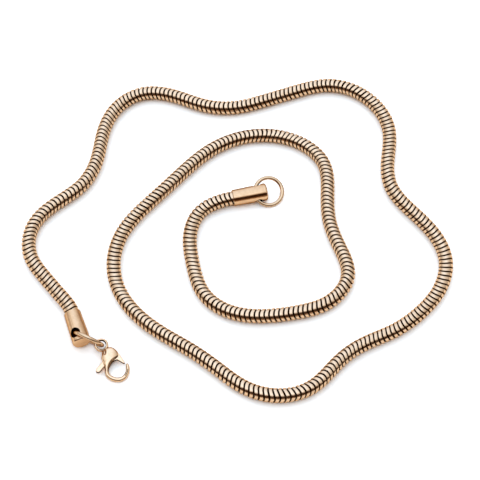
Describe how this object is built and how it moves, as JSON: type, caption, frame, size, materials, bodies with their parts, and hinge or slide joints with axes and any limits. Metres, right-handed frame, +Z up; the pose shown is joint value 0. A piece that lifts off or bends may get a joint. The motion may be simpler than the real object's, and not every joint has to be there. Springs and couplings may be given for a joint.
{
  "type": "round snake chain necklace",
  "caption": "Round snake chain necklace lying open in an inward spiral, with tubular end caps, jump rings and a lobster clasp.",
  "frame": {"origin": "on the surface that the necklace lies on, under the middle of its bounding box", "axes": "+Z up from the surface, +X along the longer side of the spiral, +Y to the far side of the picture"},
  "size_m": [0.1202, 0.1046, 0.0086],
  "materials": {
    "chain_metal": "polished champagne gold plating on steel",
    "cap_metal": "polished champagne gold plating on steel",
    "ring_metal": "polished champagne gold plating on steel",
    "clasp_metal": "polished champagne gold plating on steel"
  },
  "bodies": {
    "necklace": {"chain": "chain_metal", "end_cap_clasp": "cap_metal", "end_cap_ring": "cap_metal", "jump_ring_clasp": "ring_metal", "jump_ring_end": "ring_metal", "clasp_body": "clasp_metal", "clasp_pin": "clasp_metal"},
    "lever": {"clasp_lever": "clasp_metal"}
  },
  "joints": [
    {"name": "lever_hinge", "type": "hinge", "parent": "necklace", "child": "lever", "pos_m": [-0.03433, -0.03969, 0.00154], "axis": [-0.0529, 0.1309, -0.99], "range_deg": [0, 26], "stiffness_Nm_per_rad": 0.005, "springref_deg": -17.19}
  ]
}
